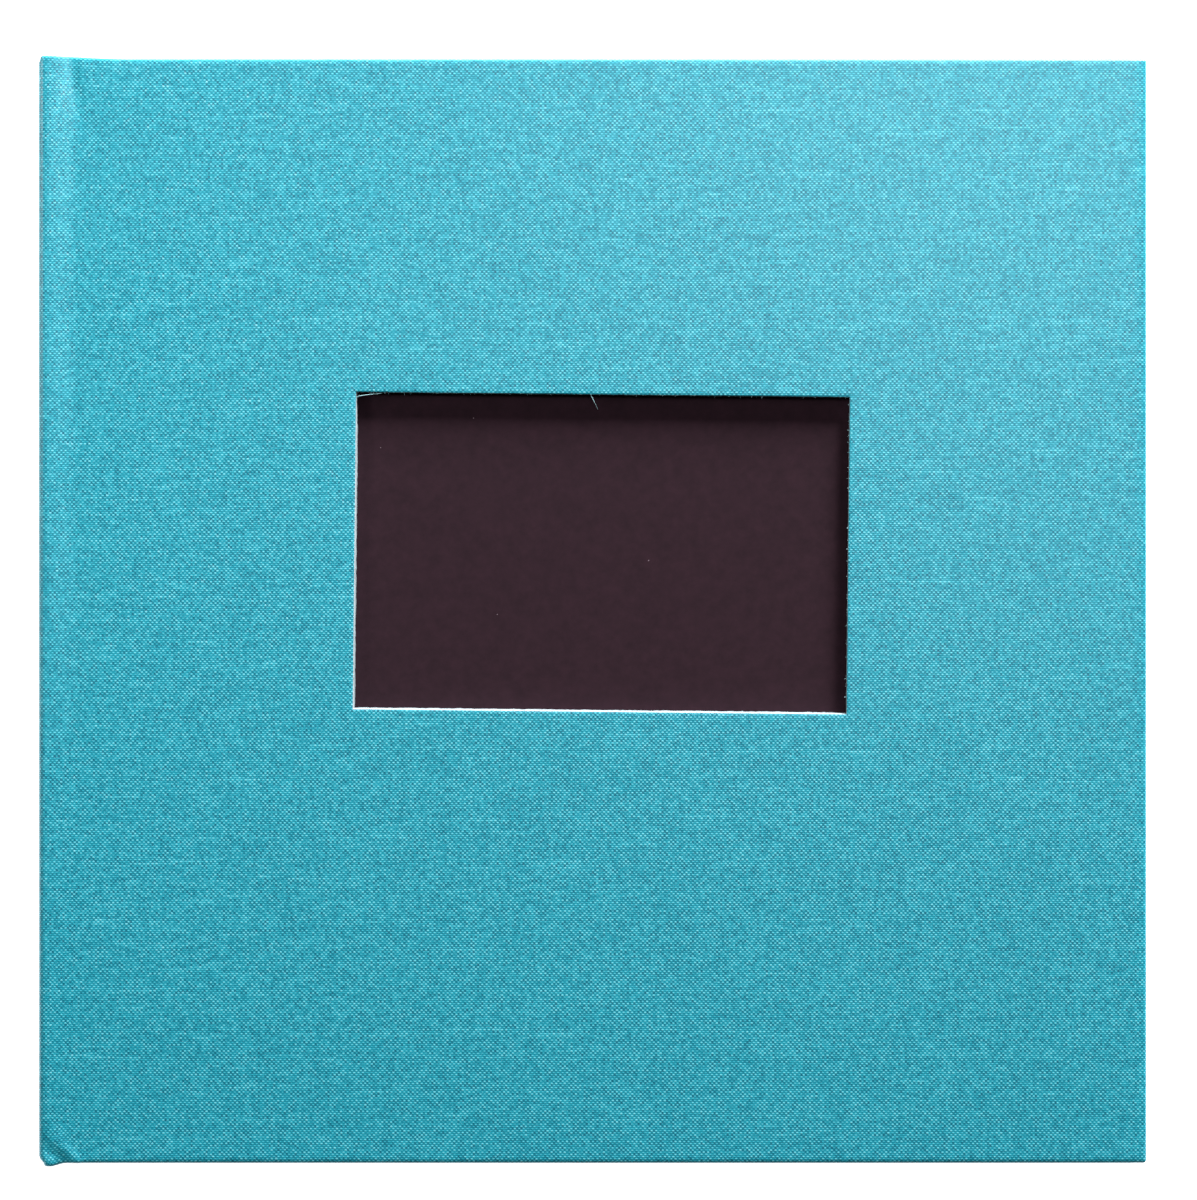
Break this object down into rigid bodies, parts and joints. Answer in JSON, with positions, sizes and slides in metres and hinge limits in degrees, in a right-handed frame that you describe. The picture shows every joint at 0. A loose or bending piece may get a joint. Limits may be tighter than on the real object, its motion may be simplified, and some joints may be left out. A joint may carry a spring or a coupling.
{
  "type": "scrapbook album",
  "caption": "Square cloth-covered scrapbook album with a die-cut photo window in its front cover and card leaves held by hidden screw posts.",
  "frame": {"origin": "centre of the closed album's footprint, on the surface its back cover lies on", "axes": "+X from the spine to the fore-edge, +Y from the tail to the head, +Z from the back cover up to the front cover"},
  "size_m": [0.314, 0.313, 0.0261],
  "materials": {
    "book_cloth": "matte plain-weave book cloth with slubs",
    "greyboard": "raw solid greyboard, pale and fibrous at the cut edge",
    "infill_card": "plain matte card",
    "lining_paper": "matte dark plum-brown paper",
    "strip_board": "board covered in the lining paper",
    "page_card": "matte off-white card",
    "spacer_card": "matte off-white card, cut edges",
    "post_metal": "nickel plated, bright"
  },
  "bodies": {
    "back_cover": {"back_cloth": "book_cloth", "back_board": "greyboard", "back_infill": "infill_card", "back_lining": "lining_paper", "back_joint_cloth": "book_cloth", "back_strip": "strip_board", "clamp_strip": "strip_board", "stub_1": "page_card", "stub_2": "page_card", "stub_3": "page_card", "stub_4": "page_card", "stub_5": "page_card", "stub_6": "page_card", "stub_7": "page_card", "stub_8": "page_card", "stub_9": "page_card", "stub_10": "page_card", "spacer_1": "spacer_card", "spacer_2": "spacer_card", "spacer_3": "spacer_card", "spacer_4": "spacer_card", "spacer_5": "spacer_card", "spacer_6": "spacer_card", "spacer_7": "spacer_card", "spacer_8": "spacer_card", "spacer_9": "spacer_card", "post_1": "post_metal", "post_2": "post_metal", "post_3": "post_metal", "post_screw_1": "post_metal", "post_screw_2": "post_metal", "post_screw_3": "post_metal"},
    "spine": {"spine_cloth": "book_cloth", "spine_board": "greyboard", "spine_infill": "infill_card", "spine_lining": "lining_paper", "front_joint_cloth": "book_cloth"},
    "front_cover": {"front_cloth": "book_cloth", "front_board": "greyboard", "front_infill": "infill_card", "front_lining": "lining_paper", "window_backing": "lining_paper"},
    "leaf_1": {"leaf_1": "page_card"},
    "leaf_2": {"leaf_2": "page_card"},
    "leaf_3": {"leaf_3": "page_card"},
    "leaf_4": {"leaf_4": "page_card"},
    "leaf_5": {"leaf_5": "page_card"},
    "leaf_6": {"leaf_6": "page_card"},
    "leaf_7": {"leaf_7": "page_card"},
    "leaf_8": {"leaf_8": "page_card"},
    "leaf_9": {"leaf_9": "page_card"},
    "leaf_10": {"leaf_10": "page_card"}
  },
  "joints": [
    {"name": "spine_hinge", "type": "hinge", "parent": "back_cover", "child": "spine", "pos_m": [-0.154, 0, 0.003], "axis": [0, -1, 0], "range_deg": [0, 90], "deforming": ["back_joint_cloth"]},
    {"name": "front_cover_hinge", "type": "hinge", "parent": "spine", "child": "front_cover", "pos_m": [-0.154, 0, 0.0231], "axis": [0, -1, 0], "range_deg": [0, 90], "deforming": ["front_joint_cloth"]},
    {"name": "leaf_1_hinge", "type": "hinge", "parent": "back_cover", "child": "leaf_1", "pos_m": [-0.126, 0, 0.01915], "axis": [0, -1, 0], "range_deg": [0, 90], "deforming": ["stub_1"]},
    {"name": "leaf_2_hinge", "type": "hinge", "parent": "back_cover", "child": "leaf_2", "pos_m": [-0.126, 0, 0.01765], "axis": [0, -1, 0], "range_deg": [0, 81], "deforming": ["stub_2"]},
    {"name": "leaf_3_hinge", "type": "hinge", "parent": "back_cover", "child": "leaf_3", "pos_m": [-0.126, 0, 0.01615], "axis": [0, -1, 0], "range_deg": [0, 72], "deforming": ["stub_3"]},
    {"name": "leaf_4_hinge", "type": "hinge", "parent": "back_cover", "child": "leaf_4", "pos_m": [-0.126, 0, 0.01465], "axis": [0, -1, 0], "range_deg": [0, 63], "deforming": ["stub_4"]},
    {"name": "leaf_5_hinge", "type": "hinge", "parent": "back_cover", "child": "leaf_5", "pos_m": [-0.126, 0, 0.01315], "axis": [0, -1, 0], "range_deg": [0, 54], "deforming": ["stub_5"]},
    {"name": "leaf_6_hinge", "type": "hinge", "parent": "back_cover", "child": "leaf_6", "pos_m": [-0.126, 0, 0.01165], "axis": [0, -1, 0], "range_deg": [0, 45], "deforming": ["stub_6"]},
    {"name": "leaf_7_hinge", "type": "hinge", "parent": "back_cover", "child": "leaf_7", "pos_m": [-0.126, 0, 0.01015], "axis": [0, -1, 0], "range_deg": [0, 36], "deforming": ["stub_7"]},
    {"name": "leaf_8_hinge", "type": "hinge", "parent": "back_cover", "child": "leaf_8", "pos_m": [-0.126, 0, 0.00865], "axis": [0, -1, 0], "range_deg": [0, 27], "deforming": ["stub_8"]},
    {"name": "leaf_9_hinge", "type": "hinge", "parent": "back_cover", "child": "leaf_9", "pos_m": [-0.126, 0, 0.00715], "axis": [0, -1, 0], "range_deg": [0, 18], "deforming": ["stub_9"]},
    {"name": "leaf_10_hinge", "type": "hinge", "parent": "back_cover", "child": "leaf_10", "pos_m": [-0.126, 0, 0.00565], "axis": [0, -1, 0], "range_deg": [0, 9], "deforming": ["stub_10"]}
  ],
  "couplings": [
    {"joint": "leaf_1_hinge", "follows": "spine_hinge", "ratio": 1},
    {"joint": "leaf_2_hinge", "follows": "spine_hinge", "ratio": 0.9},
    {"joint": "leaf_3_hinge", "follows": "spine_hinge", "ratio": 0.8},
    {"joint": "leaf_4_hinge", "follows": "spine_hinge", "ratio": 0.7},
    {"joint": "leaf_5_hinge", "follows": "spine_hinge", "ratio": 0.6},
    {"joint": "leaf_6_hinge", "follows": "spine_hinge", "ratio": 0.5},
    {"joint": "leaf_7_hinge", "follows": "spine_hinge", "ratio": 0.4},
    {"joint": "leaf_8_hinge", "follows": "spine_hinge", "ratio": 0.3},
    {"joint": "leaf_9_hinge", "follows": "spine_hinge", "ratio": 0.2},
    {"joint": "leaf_10_hinge", "follows": "spine_hinge", "ratio": 0.1}
  ]
}
